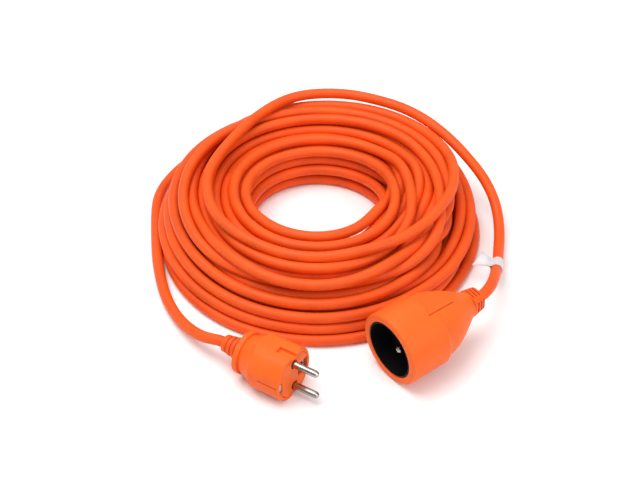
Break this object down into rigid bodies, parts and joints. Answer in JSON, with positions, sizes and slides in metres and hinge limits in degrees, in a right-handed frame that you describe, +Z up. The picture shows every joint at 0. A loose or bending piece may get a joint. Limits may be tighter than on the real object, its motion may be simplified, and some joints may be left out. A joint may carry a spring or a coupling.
{
  "type": "extension cord",
  "caption": "Coiled mains extension cord with an earthed two-pin plug at one end and a shuttered in-line socket at the other.",
  "frame": {"origin": "the middle of the coil, on the floor that it lies on", "axes": "+Z up along the coil's axis; +Y away from the two end pieces, which lie on the -Y side; +X towards the socket's side"},
  "size_m": [0.2616, 0.2946, 0.053],
  "materials": {
    "cord_sheath": "satin orange sheath",
    "moulding": "satin orange moulding",
    "relief": "satin orange moulding",
    "black_insert": "black",
    "shutter": "dark grey",
    "carrier": "ivory",
    "pin_metal": "nickel plated",
    "contact_brass": "plain",
    "spring_steel": "plain",
    "core_live": "brown insulation",
    "core_neutral": "blue insulation",
    "core_earth": "green and yellow insulation",
    "paper": "blank white label"
  },
  "bodies": {
    "cord_and_ends": {"cord_coil": "cord_sheath", "cord_plug_lead": "cord_sheath", "cord_socket_lead": "cord_sheath", "cord_tag": "paper", "plug_cord_end": "cord_sheath", "plug_core_earth": "core_earth", "plug_core_live": "core_live", "plug_core_neutral": "core_neutral", "plug_crimp_earth": "contact_brass", "plug_crimp_live": "contact_brass", "plug_crimp_neutral": "contact_brass", "plug_earth_sleeve": "contact_brass", "plug_earth_strap": "pin_metal", "plug_housing": "moulding", "plug_insert": "moulding", "plug_pin_live": "pin_metal", "plug_pin_neutral": "pin_metal", "plug_strain_relief": "relief", "socket_contact_carrier": "carrier", "socket_contact_live": "contact_brass", "socket_contact_neutral": "contact_brass", "socket_cord_end": "cord_sheath", "socket_core_earth": "core_earth", "socket_core_live": "core_live", "socket_core_neutral": "core_neutral", "socket_crimp_earth": "contact_brass", "socket_crimp_live": "contact_brass", "socket_crimp_neutral": "contact_brass", "socket_earth_pin": "pin_metal", "socket_face": "black_insert", "socket_housing": "moulding", "socket_shutter_spring": "spring_steel", "socket_strain_relief": "relief"},
    "shutter": {"socket_shutter": "shutter"}
  },
  "joints": [
    {"name": "shutter_slide", "type": "slide", "parent": "cord_and_ends", "child": "shutter", "axis": [-0.469, 0.6723, -0.5728], "range_m": [0, 0.0065], "stiffness_N_per_m": 60, "springref_m": -0.003, "deforming": ["socket_shutter_spring"]}
  ]
}
